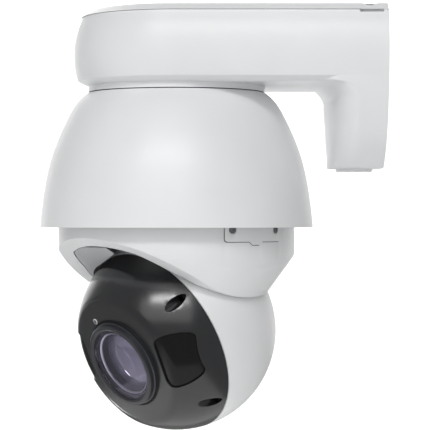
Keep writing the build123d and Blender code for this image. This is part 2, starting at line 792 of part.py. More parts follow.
hub = tube(hub_radius - fit, hub_bore, deck_top_z, nut_base_z + nut_height + 4)
hub += tube(hub_flange_radius, hub_bore, deck_top_z, deck_top_z + hub_flange)
hub += tube(hub_shoulder, hub_bore, deck_top_z, race_base_z)
hub_hole = rod(1.8, deck_top_z - 1, deck_top_z + hub_flange + 1)
hub -= group(ring_of(6, hub_screw_circle, hub_hole))
keep("pan_hub", hub, pan_place)
hub_screw = Pos(0, 0, deck_top_z + hub_flange) * cap_screw(1.5 - fit, 2.8, 2.5, 6.5)
turret_screws = ring_of(6, hub_screw_circle, hub_screw)
inner_race = tube(hub_radius + race_wall, hub_radius, race_base_z, race_top_z) - groove
keep("pan_bearing_inner", inner_race, pan_place)
pan_balls = ring_of(ball_count, race_circle, Sphere(ball_radius))
keep("pan_bearing_balls", group([Pos(0, 0, race_mid_z) * b for b in pan_balls]), pan_place)
nut = tube(nut_radius - 2, hub_radius, nut_base_z, nut_base_z + nut_height)
nut -= group(ring_of(4, nut_radius - 2, Pos(0, 0, nut_base_z + nut_height) * Box(4, 5, 8)))
keep("hub_nut", nut, pan_place)
rotor = tube(pan_rotor_outer, pan_rotor_inner, deck_top_z, race_base_z - 2)
keep("pan_motor_rotor", rotor, pan_place)
hub_top_z = nut_base_z + nut_height + 4
slip_shaft = tube(hub_radius - 0.5, 4.0, hub_top_z, hub_top_z + 2)
slip_shaft += tube(slip_shaft_radius, 4.0, hub_top_z + 2, slip_body_z + 9)
keep("slip_ring_shaft", slip_shaft, pan_place)

# ---------------------------------------------------------------- inner yoke and tilt drive

neck = block((-neck_half_depth, -neck_half_side, yoke_bar_z), (neck_half_depth, neck_half_side, deck_z))
bar_end = yoke_arm_y + yoke_arm
bar = block((-yoke_half_depth, -bar_end, yoke_bar_z), (yoke_half_depth, bar_end, yoke_bar_z + yoke_bar))
yoke = neck + bar
for side in (-1, 1):
    yoke += block((-yoke_half_depth, side * yoke_arm_y, 0), (yoke_half_depth, side * bar_end, yoke_bar_z + 1))
    yoke += rod_y(pivot_eye, side * yoke_arm_y, side * bar_end)
    yoke -= rod_y(bush_radius, side * (yoke_arm_y - 1), side * (bar_end + 1))
yoke -= rod(4.5, yoke_bar_z - 1, deck_z + 1)
for x, y in yoke_screw_spots:
    yoke -= rod(1.5, deck_z - 14, deck_z + 1, x, y)
keep("tilt_yoke", yoke, pan_place)
yoke_screw = Pos(0, 0, deck_top_z) * cap_screw(1.5 - fit, 2.8, 2.6, 14.0)
turret_screws += [Pos(x, y, 0) * yoke_screw for x, y in yoke_screw_spots]
keep("turret_screws", group(turret_screws), pan_place)


def tube_y(outer, inner, low, high):
    """A ring along Y on the tilt axis."""
    low, high = min(low, high), max(low, high)
    return rod_y(outer, low, high) - rod_y(inner, low - 1, high + 1)


bushes = [
    tube_y(bush_radius - fit, pivot_radius + running, side * yoke_arm_y, side * bar_end) for side in (-1, 1)
]
keep("tilt_bushes", group(bushes), pan_place)
motor_end = bar_end + tilt_motor_width
tilt_stator = tube_y(tilt_motor_radius, bush_radius, bar_end, motor_end)
keep("tilt_motor_stator", tilt_stator, pan_place)
rotor_start = chassis_arm_y - tilt_rotor_width
tilt_rotor = tube_y(tilt_motor_radius - 1, pivot_radius + 1, rotor_start, chassis_arm_y)
keep("tilt_motor_rotor", tilt_rotor, head_place)

# ---------------------------------------------------------------- camera head

ball = Sphere(head_radius)
inner_ball = Sphere(head_inner)
far = 200.0
seam_rear = seam_x - gasket_half
seam_front = seam_x + gasket_half
plate_end = seam_rear + chassis_plate
chassis_radius = math.sqrt(head_inner**2 - seam_front**2) - chassis_gap
cover_screw_circle = chassis_radius - cover_screw_inset
cover_pocket_x = plate_end + cover_floor
window_far = math.sqrt(head_radius**2 - seam_front**2) - window_margin
behind = block((-far, -far, -far), (seam_rear, far, far))

start_angle = math.radians(slot_start_angle)
end_angle = math.radians(slot_end_angle)
slot_points = [(0.0, 0.0)]
slot_steps = 4
for i in range(slot_steps + 1):
    angle = start_angle + (end_angle - start_angle) * i / slot_steps
    slot_points.append((math.cos(angle) * 130.0, math.sin(angle) * 130.0))
slot_face = Plane.XZ * make_face(Polyline(*slot_points, close=True))
slot = extrude(slot_face, slot_half_width, both=True)
slot -= Sphere(head_inner - 8)

screw_spots = []
for angle in cover_screw_angles:
    across = cover_screw_circle * math.cos(math.radians(angle))
    up = cover_screw_circle * math.sin(math.radians(angle))
    screw_spots += [(-across, up), (across, up)]
rear_shell = (ball & behind) - inner_ball
shell_core = Sphere(head_radius - 0.8)
for y, z in screw_spots:
    rear_shell += rod_x(boss_radius, boss_rear_x, seam_rear, y, z) & shell_core
rear_shell -= slot
for y, z in screw_spots:
    rear_shell -= rod_x(1.6, boss_rear_x - 1, seam_x + 1, y, z)
vent_back, vent_side, vent_up = vent_direction
vent_turn = math.degrees(math.atan2(vent_side, vent_back))
vent_tilt = math.degrees(math.atan2(vent_up, math.hypot(vent_side, vent_back)))
vent_axis = Rotation(0, 0, vent_turn) * Rotation(0, vent_tilt, 0)
rear_shell -= vent_axis * rod_x(vent_radius, head_inner - 3, head_radius + 3)
keep("rear_shell", rear_shell, head_place)
vent = vent_axis * (rod_x(vent_radius - fit, head_inner - 1.5, head_radius - 0.6))
keep("vent_plug", vent, head_place)

gasket_ring = tube_x(head_radius - 4, chassis_radius + 0.2, seam_rear, seam_front)
keep("head_gasket", gasket_ring, head_place)

# Outline of the side window on +Y: straight towards the lens, bowed above and below, lower further out
window_mid = (window_near + window_far) / 2
window_flat = make_face(
    [
        Line((window_near, window_bottom + window_bow), (window_near, window_top - window_bow)),
        ThreePointArc(
            (window_near, window_top - window_bow),
            (window_mid, window_top),
            (window_far, window_top - window_taper),
        ),
        Line((window_far, window_top - window_taper), (window_far, window_bottom + window_taper)),
        ThreePointArc(
            (window_far, window_bottom + window_taper),
            (window_mid, window_bottom),
            (window_near, window_bottom + window_bow),
        ),
    ]
)
window_flat = fillet(window_flat.vertices(), window_corner)


def window_prism(low_x, high_x, side, grow):
    """The outline of a side window carried along the lens axis."""
    outline = offset(window_flat, grow) if grow else window_flat
    across = Plane(origin=(low_x, 0, 0), x_dir=(0, 1, 0), z_dir=(1, 0, 0))
    prism = extrude(across * outline, high_x - low_x)
    return prism if side > 0 else mirror(prism, Plane.XZ)


def cover_profile(inset, low_x):
    """Half outline of the front cover moved inwards: the ball, its flat face and the edge between them."""
    flat_x = land_x - inset
    radius = head_radius - inset
    span = flat_x - low_x
    half = Circle(radius) & (Pos(low_x + span / 2, far / 2) * Rectangle(span, far))
    rim = (flat_x, math.sqrt(radius**2 - flat_x**2), 0)
    return fillet(half.vertices().sort_by_distance(rim)[0], land_edge - inset)


front_cover = revolve(cover_profile(0.0, seam_front), Axis.X, 360)
front_cover -= revolve(cover_profile(head_wall, seam_front - 1), Axis.X, 360)
cover_core = revolve(cover_profile(0.8, seam_front - 1), Axis.X, 360)
for y, z in screw_spots:
    front_cover += rod_x(boss_radius, plate_end, land_x, y, z) & cover_core
for y, z in screw_spots:
    front_cover -= rod_x(cover_pocket_radius, cover_pocket_x, far, y, z)
    front_cover -= rod_x(2.0, seam_x, far, y, z)
front_cover -= rod_x(bezel_seat_radius + fit, land_x - 10, far)
for side in (-1, 1):
    front_cover -= window_prism(plate_end, far, side, 0)
front_cover -= rod_x(sensor_radius + fit, land_x - 10, far, sensor_side, sensor_up)
keep("front_cover", front_cover, head_place)

window_slab = revolve(cover_profile(window_sink, seam_front), Axis.X, 360)
window_slab -= revolve(cover_profile(window_sink + window_thickness, seam_front - 1), Axis.X, 360)
windows = [window_slab & window_prism(plate_end, far, side, -seam / 2) for side in (-1, 1)]
keep("ir_windows", group(windows), head_place)
sensor = rod_x(sensor_radius, land_x - 5, land_x + 0.6, sensor_side, sensor_up)
keep("light_sensor", sensor, head_place)

cover_bolt = Rotation(0, 90, 0) * cap_screw(1.6 - fit, 3.4, 3.0, 19.0)
cover_bolts = [Pos(cover_pocket_x, y, z) * cover_bolt for y, z in screw_spots]
keep("cover_screws", group(cover_bolts), head_place)

bezel_profile = [
    (land_x - 4.5, nose_radius + 0.6),
    (land_x - 4.5, bezel_seat_radius),
    (land_x, bezel_seat_radius),
    (land_x, bezel_base_radius),
    (land_x + 1.2, bezel_base_radius),
    (land_x + 2.0, bezel_face_radius),
    (bezel_face_x - 1.0, bezel_face_radius),
    (bezel_face_x, bezel_face_radius - 1.0),
    (bezel_face_x, bezel_face_radius - 3.0),
    (window_x + 0.6, bezel_bore),
    (window_x - window_glass, bezel_bore),
    (window_x - window_glass, nose_radius + 0.6),
]
keep("lens_bezel", turned_x(bezel_profile), head_place)
keep("lens_window", rod_x(bezel_bore - fit, window_x - window_glass, window_x), head_place)

# Chassis: a plate across the seam with two arms back to the tilt axis
chassis = rod_x(chassis_radius, seam_rear, plate_end)
chassis -= block(
    (seam_x - 1, -barrel_half_width - fit, -barrel_half_height - fit),
    (plate_end + 1, barrel_half_width + fit, barrel_half_height + fit),
)
arm_outer = chassis_arm_y + chassis_arm
for side in (-1, 1):
    low_y, high_y = side * chassis_arm_y, side * arm_outer
    chassis += block((0, low_y, -chassis_arm_half), (seam_x + 1, high_y, chassis_arm_half))
    chassis += rod_y(chassis_arm_half, low_y, high_y)
    chassis -= rod_y(pivot_radius + fit, side * (chassis_arm_y - 1), side * (arm_outer + 1))
for y, z in screw_spots:
    chassis -= rod_x(2.0, seam_x - 1, plate_end + 1, y, z)
keep("head_chassis", chassis, head_place)
pins = []
for side in (-1, 1):
    pin = rod_y(pivot_radius, side * (yoke_arm_y - 0.5), side * arm_outer)
    pins.append(pin + rod_y(pivot_radius + 3, side * arm_outer, side * (arm_outer + 2)))
keep("tilt_pins", group(pins), head_place)

heat_blocks = []
led_boards = []
leds = []
board_end = led_board_x + board_thickness
lamp_end = board_end + led_body
block_half = led_board_half - 2 * led_block_margin
for side in (-1, 1):
    near, far_side = side * led_board_near, side * led_board_far
    led_boards.append(block((led_board_x, near, -led_board_half), (board_end, far_side, led_board_half)))
    near, far_side = side * (led_board_near + led_block_margin), side * (led_board_far - led_block_margin)
    heat_blocks.append(block((plate_end, near, -block_half), (led_board_x, far_side, block_half)))
    for z in led_rows:
        for y in led_columns:
            lamp = rod_x(led_radius, board_end, lamp_end, side * y, z)
            leds.append(lamp + Pos(lamp_end, side * y, z) * Sphere(led_radius))
keep("led_brackets", group(heat_blocks), head_place)
keep("led_boards", group(led_boards), head_place)
leds = [led & block((board_end, -far, -far), (far, far, far)) for led in leds]
keep("infrared_leds", group(leds), head_place)

# Lens housing, glass and moving groups
housing_block = block(
    (barrel_back_x, -barrel_half_width, -barrel_half_height),
    (barrel_front_x, barrel_half_width, barrel_half_height),
)
lens_housing = housing_block + rod_x(nose_radius, barrel_front_x, nose_front_x)
lens_housing += block((plate_end, -30, -28), (plate_end + 3, 30, 28))
lens_housing -= rod_x(nose_bore, barrel_front_x, nose_front_x + 1)
lens_housing -= rod_x(barrel_bore, barrel_back_x - 1, barrel_front_x + 1)
keep("lens_housing", lens_housing, head_place)
front_glass = lens_disc(nose_bore - fit, front_glass_back, front_glass_front, front_glass_bulge)
keep("front_element", front_glass, head_place)

rail_spots = [(15.5, 8.0), (-15.5, -8.0)]
rails = [rod_x(rail_radius, barrel_back_x, barrel_front_x, y, z) for y, z in rail_spots]
rail_holder = tube_x(barrel_bore - fit, 12.5, barrel_front_x - 4, barrel_front_x)
for y, z in rail_spots:
    rail_holder -= rod_x(rail_radius + fit, barrel_front_x - 5, barrel_front_x + 1, y, z)
keep("lens_rails", group(rails), head_place)
keep("rail_holder", rail_holder, head_place)


def carrier(low_x, high_x, hole):
    """A lens holder that slides on the rails."""
    ring = tube_x(barrel_bore - 0.6, hole, low_x, high_x)
    for y, z in rail_spots:
        ring -= rod_x(rail_radius + sliding, low_x - 1, high_x + 1, y, z)
    return ring


keep("zoom_carrier", carrier(0.0, 10.0, 11.0), head_place)
keep("zoom_lens", lens_disc(11.0 - fit, 1.0, 9.0, 1.2), head_place)
keep("focus_carrier", carrier(-26.0, -18.0, 10.0), head_place)
keep("focus_lens", lens_disc(10.0 - fit, -25.0, -19.0, 1.0), head_place)

filter_x = -37.0
track = tube_x(barrel_bore - fit, 7.5, filter_x - 3.0, filter_x - 1.5)
for y, z in rail_spots:
    track -= rod_x(rail_radius + fit, filter_x - 4, filter_x, y, z)
for side in (-1, 1):
    rail = block((filter_x - 1.6, -15, side * 6.5), (filter_x + 1.5, 15, side * 8.0))
    for y, z in rail_spots:
        rail -= rod_x(rail_radius + fit, filter_x - 4, filter_x + 4, y, z)
    track += rail
keep("filter_track", track, head_place)
filter_pane = block((filter_x - 1.2, -4.0 - 7.0, -6.2), (filter_x + 0.2, -4.0 + 7.0, 6.2))
keep("ir_cut_filter", filter_pane, head_place)
sensor_board = block((barrel_back_x - board_thickness, -21, -21), (barrel_back_x, 21, 21))
keep("sensor_board", sensor_board, head_place)
keep("image_sensor", block((barrel_back_x, -6, -5), (barrel_back_x + 1.4, 6, 5)), head_place)
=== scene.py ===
import json
import math

import bmesh
import bpy
import numpy as np
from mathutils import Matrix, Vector


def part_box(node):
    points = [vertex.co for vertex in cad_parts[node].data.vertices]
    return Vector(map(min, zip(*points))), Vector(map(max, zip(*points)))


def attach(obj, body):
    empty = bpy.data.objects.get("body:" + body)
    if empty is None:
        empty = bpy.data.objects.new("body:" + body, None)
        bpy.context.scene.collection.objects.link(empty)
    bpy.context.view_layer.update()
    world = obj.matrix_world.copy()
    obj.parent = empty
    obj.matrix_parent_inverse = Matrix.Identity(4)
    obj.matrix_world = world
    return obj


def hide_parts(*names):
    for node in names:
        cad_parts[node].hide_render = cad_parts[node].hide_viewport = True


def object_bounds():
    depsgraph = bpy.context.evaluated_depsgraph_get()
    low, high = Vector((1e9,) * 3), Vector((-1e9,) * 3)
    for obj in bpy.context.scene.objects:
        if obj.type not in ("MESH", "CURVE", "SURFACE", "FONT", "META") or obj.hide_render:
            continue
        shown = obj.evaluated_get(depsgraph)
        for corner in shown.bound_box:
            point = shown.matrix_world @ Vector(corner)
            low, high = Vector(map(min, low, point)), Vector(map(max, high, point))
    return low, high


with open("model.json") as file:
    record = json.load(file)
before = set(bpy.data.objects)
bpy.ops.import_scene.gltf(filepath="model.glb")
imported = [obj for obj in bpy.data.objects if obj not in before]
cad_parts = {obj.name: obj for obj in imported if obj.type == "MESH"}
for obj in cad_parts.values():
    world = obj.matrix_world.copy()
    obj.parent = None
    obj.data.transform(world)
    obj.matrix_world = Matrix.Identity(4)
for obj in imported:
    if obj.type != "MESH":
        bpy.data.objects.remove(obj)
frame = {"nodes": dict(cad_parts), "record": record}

bl_info = {
    "name": "Dome camera on a wall arm",
    "version": (1, 0, 0),
    "blender": (4, 5, 0),
    "location": "3D View > Sidebar > Camera",
    "description": "Finishes and smooth shells for a pan-tilt-zoom camera",
    "category": "Object",
}

MM = 0.001

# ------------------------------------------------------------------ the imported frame

JOINTS = {joint["name"]: joint for joint in frame["record"]["behaviour"]["joints"]}
CENTRE = np.array(JOINTS["tilt"]["pos_m"])
UP = np.array([0.0, 0.0, 1.0])
SIDE = np.array(JOINTS["tilt"]["axis"])
FORWARD = np.cross(SIDE, UP)
LENS = np.array(JOINTS["zoom"]["axis"])
CAD_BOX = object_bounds()


def turret(points):
    """Points (forward, side, up) about the ball's centre, to the row frame."""
    return CENTRE + points[..., :1] * FORWARD + points[..., 1:2] * SIDE + points[..., 2:] * UP


def span(node):
    """The lowest and highest corners of a CAD node as arrays."""
    low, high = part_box(node)
    return np.array(low), np.array(high)


def reach(node, axis):
    """How far a CAD node goes along an axis through the ball's centre."""
    mesh = frame["nodes"][node].data
    points = np.empty(len(mesh.vertices) * 3)
    mesh.vertices.foreach_get("co", points)
    return float(((points.reshape(-1, 3) - CENTRE) @ axis).max())


BALL_RADIUS = CENTRE[2] - span("front_cover")[0][2]
DRUM_RADIUS = (span("pan_housing")[1][1] - span("pan_housing")[0][1]) / 2

BODY_OF = {node: body for body, nodes in frame["record"]["behaviour"]["bodies"].items() for node in nodes}

# ------------------------------------------------------------------ shapes

# The opening's arc over the ears, about the ball's centre: middle ahead, middle's height, radius
OPENING_ARC = (-8.7 * MM, 123.1 * MM, 92.6 * MM)
# The straight slope in front of the arc: where it starts ahead, its height there, its rise per length
OPENING_SLOPE = (37.6 * MM, 42.9 * MM, math.tan(math.radians(30)))
# The cavity's wall: heights, and the radius at each
CAVITY_WALL = (np.array([42, 54, 67, 90]) * MM, np.array([75.6, 79.5, 89.5, 89.5]) * MM)

# The gusset's first and last distance ahead, and how far it lies above the opening's edge
GUSSET_SPAN = (38.5 * MM, 87 * MM)
GUSSET_LIFT = 0.5 * MM
# Its slanted edge: distance to the side where it starts, distance ahead there, slope, least distance to the side
GUSSET_SLANT = (29.8 * MM, 60 * MM, 2.4, -13 * MM)
GUSSET_GRID = (60, 24)

# The service cover's outline: rounding of its lower corners, its tab's size, and the rounding of the tab's corners
COVER_CORNER, TAB_HALF_WIDTH, TAB_DROP, TAB_CORNER = 2.5 * MM, 3.5 * MM, 2.6 * MM, 0.8 * MM
# Steps along and round the black cord of painted shade round the service cover
GAP_SHADE_GRID = (240, 10)

# The collar's inner radius and eased corners, as shares of its outer radius and its height
COLLAR_BORE, COLLAR_EASE = 0.55, 0.6
# The retaining ring: how far its outer edge stands before the barrel and its foot behind, and that edge's rounding
RING_FRONT, RING_FOOT, RING_EASE = 0.9 * MM, -1.1 * MM, 0.4 * MM
# Steps round the lens axis, and round the section of the near-black cord of painted shade at the bezel's foot
COLLAR_SEGMENTS, RING_SEGMENTS, SHADE_CORD_SIDES = 48, 96, 12

# Nodes whose sharp edges are rounded, each with its share of the edge radius
SOFT_EDGES = {"pan_housing": 1.6, "arm_casting": 1.0, "front_cover": 0.5, "sunshield": 0.6, "service_cover": 0.4}
EDGE_SEGMENTS = 3
# Corners closer than this are one, in a CAD copy and in a new piece
COPY_WELD, WELD = 2e-6, 1e-6
# Faces that meet at more than this angle keep a sharp edge, in a CAD copy and in a new piece
COPY_SHARP, SHARP = math.radians(32), math.radians(35)

# ------------------------------------------------------------------ stage

# Where the camera stands, and its lens and film width in millimetres
CAMERA_PLACE = (-0.1421, -1.653, -0.127)
CAMERA_LENS, CAMERA_FILM = 161.3, 36.0
CAMERA_CLIP = (0.05, 30.0)

# The paper in metres: its drop below the object, half width, front end, upright part, bend's radius and top
FLOOR_DROP, PAPER_HALF_WIDTH = 0.16, 5.0
PAPER_FRONT, PAPER_BACK, PAPER_BEND, PAPER_TOP = -4.0, 2.6, 1.2, 4.0
BEND_STEPS = 25
WORLD_STRENGTH = 0.25

# Softboxes: name, place, the point it faces, width and height in metres, watts, in gloss, on matt
SOFTBOXES = (
    ("softbox_front", (-0.59, -2.0, 0.8), (-0.18, -0.08, -0.1), (2.6, 1.1), 8.2, True, True),
    ("softbox_strip", (-0.42, -1.70, 1.16), (-0.18, -0.08, -0.1), (1.6, 0.30), 15.0, True, True),
    ("softbox_eye", (-0.30, -1.60, -0.10), (-0.2, -0.05, -0.15), (0.7, 0.5), 2.3, False, True),
    ("softbox_below", (-0.26, -0.08, -0.46), (-0.26, -0.07, 0.0), (0.5, 0.5), 0.42, True, True),
    ("softbox_backdrop", (-0.14, 1.5, 1.7), (-0.14, 2.6, -0.1), (3.2, 1.4), 80.0, False, True),
    ("softbox_rim", (-0.85, 1.75, -0.2), (-0.18, -0.03, -0.22), (1.5, 1.2), 2.6, True, False),
    ("softbox_glint", (-0.425, 0.165, -0.45), (-0.22, -0.04, -0.25), (0.03, 0.03), 0.04, True, False),
)

# ------------------------------------------------------------------ materials

# Most values of a noise lie between these two
NOISE_LOW, NOISE_HIGH = 0.3, 0.7


def linear(code):
    """An sRGB hex colour as linear red, green, blue and alpha."""
    value = np.array([int(code[i : i + 2], 16) for i in (1, 3, 5)]) / 255
    low, high = value / 12.92, ((value + 0.055) / 1.055) ** 2.4
    return (*np.where(value <= 0.04045, low, high), 1.0)


def hex_of(colour):
    """A colour property, which holds sRGB values, as a hex code."""
    return "#" + "".join(f"{round(channel * 255):02X}" for channel in colour)


def node(tree, kind, settings=None, **inputs):
    """Adds a node, with its settings, and its inputs as values or as sockets to link.

    An input goes by its name with _ for a space, or by i and its number where names repeat.
    """
    made = tree.nodes.new(kind)
    for key, value in (settings or {}).items():
        setattr(made, key, value)
    for key, value in inputs.items():
        numbered = key[0] == "i" and key[1:].isdigit()
        target = made.inputs[int(key[1:]) if numbered else key.replace("_", " ")]
        if isinstance(value, bpy.types.NodeSocket):
            tree.links.new(value, target)
        else:
            target.default_value = value
    return made


def fresh_material(name, **values):
    """A material with only a Principled shader, its inputs that are the same all over, and its output."""
    material = bpy.data.materials.new(name)
    material.use_nodes = True
    tree = material.node_tree
    tree.nodes.clear()
    shader = tree.nodes.new("ShaderNodeBsdfPrincipled")
    output = tree.nodes.new("ShaderNodeOutputMaterial")
    tree.links.new(shader.outputs[0], output.inputs[0])
    for key, value in values.items():
        shader.inputs[key.replace("_", " ")].default_value = value
    return material, tree, shader


def grain(tree, size_mm, detail=2.0):
    """Noise whose features are about size_mm across, on the object's own coordinates."""
    where = node(tree, "ShaderNodeTexCoord").outputs["Object"]
    return node(tree, "ShaderNodeTexNoise", Vector=where, Scale=1 / (size_mm * MM), Detail=detail).outputs[0]


def ramp(tree, noise, low, high):
    """A noise spread over the range from low to high."""
    ends = {"From_Min": NOISE_LOW, "From_Max": NOISE_HIGH, "To_Min": low, "To_Max": high}
    return node(tree, "ShaderNodeMapRange", Value=noise, **ends).outputs[0]


def bump(tree, height, depth_mm, strength):
    """A bump from a height between 0 and 1 that stands for depth_mm."""
    return node(tree, "ShaderNodeBump", Height=height, Distance=depth_mm * MM, Strength=strength).outputs[0]


def tint(tree, value, dark, light):
    """A colour between two hex codes."""
    mix = node(tree, "ShaderNodeMix", {"data_type": "RGBA"}, Factor=value, i6=linear(dark), i7=linear(light))
    return mix.outputs[2]


def powder_coat(name, light, dark, roughness):
    """Polyester powder coat, sprayed and baked: a satin skin with a fine orange peel about 1.5 mm apart.

    Its white drifts a little over 60 mm or so, and its shine a little from one dimple to the next.
    """
    material, tree, shader = fresh_material(name, IOR=1.5)
    peel = grain(tree, 1.5)
    cloud = grain(tree, 60.0)
    tree.links.new(tint(tree, ramp(tree, cloud, 0.0, 1.0), dark, light), shader.inputs["Base Color"])
    tree.links.new(ramp(tree, peel, roughness - 0.03, roughness + 0.03), shader.inputs["Roughness"])
    tree.links.new(bump(tree, peel, 0.012, 0.5), shader.inputs["Normal"])
    return material


def gloss_polycarbonate(name, colour):
    """Polycarbonate moulded in a polished tool: near black, with a soft gloss.

    The faintest ripple, about 25 mm long, bends its highlights, and its shine is uneven every 4 mm or so.
    """
    material, tree, shader = fresh_material(name, Base_Color=linear(colour), IOR=1.58, Specular_IOR_Level=0.74)
    ripple = grain(tree, 25.0, 1.0)
    tree.links.new(ramp(tree, grain(tree, 4.0), 0.19, 0.23), shader.inputs["Roughness"])
    tree.links.new(bump(tree, ripple, 0.02, 0.3), shader.inputs["Normal"])
    return material


def smoked_acrylic(name, colour):
    """Cast acrylic dyed to pass only infrared: black to the eye, its polished faces hazed every 6 mm or so."""
    material, tree, shader = fresh_material(name, Base_Color=linear(colour), IOR=1.49, Specular_IOR_Level=0.3)
    tree.links.new(ramp(tree, grain(tree, 6.0), 0.14, 0.18), shader.inputs["Roughness"])
    return material


def optical_glass(name, colour, glint, index, see_through=1.0):
    """Ground and polished optical glass, perfectly smooth.

    Its coating tints what it reflects, and veils what lies behind where see_through is under 1.
    """
    colours = {"Base_Color": linear(colour), "Specular_Tint": linear(glint)}
    return fresh_material(name, **colours, Roughness=0.0, IOR=index, Transmission_Weight=see_through)[0]


def bare_metal(name, colour, roughness, grain_mm):
    """A bare machined or plated metal: faint tool marks grain_mm apart make its shine uneven."""
    material, tree, shader = fresh_material(name, Base_Color=linear(colour), Metallic=1.0)
    marks = grain(tree, grain_mm)
    tree.links.new(ramp(tree, marks, roughness - 0.06, roughness + 0.06), shader.inputs["Roughness"])
    return material


def matt_rubber(name, colour):
    """Moulded EPDM rubber: matt, with a fine dusty grain 0.6 mm apart."""
    material, tree, shader = fresh_material(name, Roughness=0.85)
    dust = grain(tree, 0.6)
    tree.links.new(tint(tree, ramp(tree, dust, 0.0, 1.0), colour, "#3A3A3B"), shader.inputs["Base Color"])
    tree.links.new(bump(tree, dust, 0.03, 0.5), shader.inputs["Normal"])
    return material


def moulded_plastic(name, light, dark, roughness):
    """A polymer moulded in a spark-eroded tool: an even fine texture 0.9 mm apart."""
    material, tree, shader = fresh_material(name, Roughness=roughness)
    texture = grain(tree, 0.9)
    tree.links.new(tint(tree, ramp(tree, texture, 0.0, 1.0), dark, light), shader.inputs["Base Color"])
    tree.links.new(bump(tree, texture, 0.01, 0.4), shader.inputs["Normal"])
    return material


def studio_paper(colour):
    """Matt background paper: fibres about 3 mm long and no shine."""
    material, tree, shader = fresh_material("studio_paper", Roughness=0.9, Specular_IOR_Level=0.1)
    tree.links.new(tint(tree, grain(tree, 3.0), colour, "#E6E6E6"), shader.inputs["Base Color"])
    return material


FINISHES = {
    # The record's material slots
    "white_coat": lambda: powder_coat("powder_coat_white", "#EFF0F1", "#EBECED", 0.36),
    "white_shield": lambda: powder_coat("powder_coat_shield", "#F1F2F3", "#EDEEEF", 0.34),
    "white_shell": lambda: moulded_plastic("polycarbonate_white", "#E8E9EA", "#E4E5E6", 0.36),
    "dark_cover": lambda: gloss_polycarbonate("polycarbonate_gloss_black", "#212224"),
    "smoked_window": lambda: smoked_acrylic("acrylic_smoked", "#151516"),
    "clear_glass": lambda: optical_glass("optical_glass_coated", "#E4E2EE", "#DAD3F2", 1.7),
    "bezel_grey": lambda: moulded_plastic("polyamide_grey_satin", "#34353A", "#2F3034", 0.34),
    "black_rubber": lambda: matt_rubber("rubber_epdm", "#1A1A1B"),
    "steel": lambda: bare_metal("steel_zinc_plated", "#B9BBBD", 0.35, 3.0),
    "stainless": lambda: bare_metal("stainless_steel_a2", "#C4C3C0", 0.28, 1.0),
    "raw_aluminium": lambda: bare_metal("aluminium_machined", "#D3D5D8", 0.38, 1.5),
    "bronze": lambda: bare_metal("bronze_sintered", "#B98A52", 0.45, 0.8),
    "circuit_board": lambda: moulded_plastic("solder_mask_green", "#1F5A35", "#184A2B", 0.35),
    "black_plastic": lambda: moulded_plastic("nylon_black", "#1C1C1D", "#141415", 0.5),
    "motor_iron": lambda: bare_metal("lamination_iron", "#5B5450", 0.5, 2.0),
    "led_clear": lambda: moulded_plastic("epoxy_clear", "#C9CED8", "#BEC4CF", 0.1),
    "filter_glass": lambda: optical_glass("filter_glass_cyan", "#7FC8CF", "#BFEFF2", 1.5),
    # Finishes of single nodes and of new pieces
    "front_glass": lambda: optical_glass("optical_glass_multicoated", "#B0B2C2", "#E8E2F6", 1.9, 0.72),
    "cover_glass": lambda: optical_glass("cover_glass_antireflection", "#F0EDF8", "#C2B4F2", 1.33),
    # A darker, rougher copy of the white coat: its grey is painted shade for the gusset deep in the cavity
    "painted_shade_coat": lambda: powder_coat("powder_coat_painted_shade", "#B9BBBD", "#B2B4B7", 0.5),
    "dull_steel": lambda: bare_metal("stainless_steel_sandblasted", "#A2A4A7", 0.5, 1.0),
    "black_oxide": lambda: bare_metal("steel_black_oxide", "#2A2A2C", 0.4, 1.0),
    # A near-black matt finish: painted shade for the gap round the bezel's foot
    "bezel_shade_black": lambda: moulded_plastic("near_black_shade", "#0D0D0E", "#0A0A0B", 0.7),
}
# Nodes that look different from the rest of their slot
OWN_FINISH = {
    "lens_window": "cover_glass",
    "front_element": "front_glass",
    "cover_screws": "black_oxide",
    "service_screws": "dull_steel",
}
made_materials = {}


def finish_of(slot_name):
    """The finished material of a name in FINISHES, made once."""
    if slot_name not in made_materials:
        made_materials[slot_name] = FINISHES[slot_name]()
    return made_materials[slot_name]


# ------------------------------------------------------------------ mesh helpers


def grid_faces(rows, columns, wrap_rows=False, wrap_columns=False):
    """Four corners for every cell of a grid of rows by columns points, wrapping round where asked."""
    i = np.arange(rows if wrap_rows else rows - 1)[:, None]
    j = np.arange(columns if wrap_columns else columns - 1)[None, :]
    i_next, j_next = (i + 1) % rows, (j + 1) % columns
    corners = [i * columns + j, i_next * columns + j, i_next * columns + j_next, i * columns + j_next]
    return np.stack([c + 0 * i + 0 * j for c in corners], -1).reshape(-1, 4)


def close_mesh(mesh, weld, sharp):
    """Welds doubles, drops collapsed faces, points every face outwards and shades it smooth up to an angle."""
    work = bmesh.new()
    work.from_mesh(mesh)
    bmesh.ops.remove_doubles(work, verts=work.verts, dist=weld)
    bmesh.ops.dissolve_degenerate(work, edges=work.edges, dist=weld)
    bmesh.ops.recalc_face_normals(work, faces=work.faces)
    work.to_mesh(mesh)
    work.free()
    mesh.polygons.foreach_set("use_smooth", np.ones(len(mesh.polygons), bool))
    mesh.set_sharp_from_angle(angle=sharp)


def add_piece(name, mesh, body):
    """A mesh as an object in the scene that moves with a body."""
    piece = bpy.data.objects.new(name, mesh)
    bpy.context.scene.collection.objects.link(piece)
    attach(piece, body)
    return piece


def build(name, points, faces, body, slot_name, finish=None):
    """A new piece from points and faces, in its slot's finish or one of its own."""
    mesh = bpy.data.meshes.new(name)
    mesh.from_pydata(points.reshape(-1, 3).tolist(), [], faces.tolist())
    close_mesh(mesh, WELD, SHARP)
    mesh.materials.append(finish_of(finish or slot_name))
    return add_piece(name, mesh, body)


